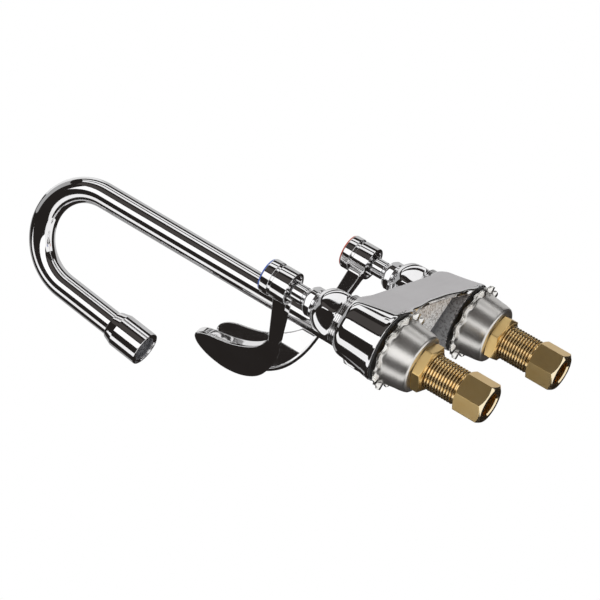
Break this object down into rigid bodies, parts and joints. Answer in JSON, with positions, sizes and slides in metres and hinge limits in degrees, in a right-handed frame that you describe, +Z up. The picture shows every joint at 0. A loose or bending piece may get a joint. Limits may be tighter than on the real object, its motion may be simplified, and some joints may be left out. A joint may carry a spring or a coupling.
{
  "type": "deck-mount sink faucet",
  "caption": "Deck-mount sink faucet with a swinging gooseneck spout, wrist-blade handles turning ceramic-disc valves, and threaded inlet shanks with lock cups below the deck.",
  "frame": {"origin": "midway between the two inlets, in the plane of the deck gaskets' upper faces", "axes": "+Z up from the deck, +X to the user's right (the cold side), -Y towards the user"},
  "size_m": [0.1496, 0.1362, 0.3288],
  "materials": {
    "chrome": "polished chrome plate on brass",
    "brass": "machined brass, slightly dulled",
    "zinc_steel": "satin zinc plate on stamped steel",
    "stainless": "plain stainless steel",
    "rubber": "matt black rubber",
    "ceramic": "lapped white alumina",
    "nylon": "natural nylon",
    "grey_plastic": "moulded grey plastic",
    "blue_index": "glossy blue plastic",
    "red_index": "glossy red plastic"
  },
  "bodies": {
    "base": {"body_casting": "chrome", "spout_nut": "chrome", "spout_washers": "nylon", "cold_inlet_shank": "brass", "cold_deck_gasket": "rubber", "cold_lock_cup": "zinc_steel", "cold_lock_nut": "brass", "cold_coupling_nut": "brass", "cold_ferrule": "brass", "cold_bonnet_ring": "chrome", "cold_bonnet_nut": "chrome", "cold_packing_nut": "chrome", "cold_packing_ring": "nylon", "cold_cartridge_body": "brass", "cold_seat_seal": "rubber", "cold_lower_disc": "ceramic", "hot_inlet_shank": "brass", "hot_deck_gasket": "rubber", "hot_lock_cup": "zinc_steel", "hot_lock_nut": "brass", "hot_coupling_nut": "brass", "hot_ferrule": "brass", "hot_bonnet_ring": "chrome", "hot_bonnet_nut": "chrome", "hot_packing_nut": "chrome", "hot_packing_ring": "nylon", "hot_cartridge_body": "brass", "hot_seat_seal": "rubber", "hot_lower_disc": "ceramic"},
    "cold_lever": {"cold_stem": "chrome", "cold_stem_o_rings": "rubber", "cold_upper_disc": "ceramic", "cold_handle": "chrome", "cold_handle_screw": "stainless", "cold_index_cap": "chrome", "cold_index_button": "blue_index"},
    "hot_lever": {"hot_stem": "chrome", "hot_stem_o_rings": "rubber", "hot_upper_disc": "ceramic", "hot_handle": "chrome", "hot_handle_screw": "stainless", "hot_index_cap": "chrome", "hot_index_button": "red_index"},
    "spout": {"spout_sleeve": "chrome", "spout_o_rings": "rubber", "spout_tube": "chrome", "spout_end": "chrome", "aerator_housing": "chrome", "aerator_insert": "grey_plastic", "aerator_screen": "stainless", "aerator_washer": "rubber"}
  },
  "joints": [
    {"name": "cold_handle_turn", "type": "hinge", "parent": "base", "child": "cold_lever", "pos_m": [0.0508, 0, 0.07], "axis": [0, 0, 1], "range_deg": [0, 90]},
    {"name": "hot_handle_turn", "type": "hinge", "parent": "base", "child": "hot_lever", "pos_m": [-0.0508, 0, 0.07], "axis": [0, 0, 1], "range_deg": [-90, 0]},
    {"name": "spout_swing", "type": "hinge", "parent": "base", "child": "spout", "pos_m": [0, -0.029, 0.035], "axis": [0, 0, 1], "continuous": true}
  ]
}
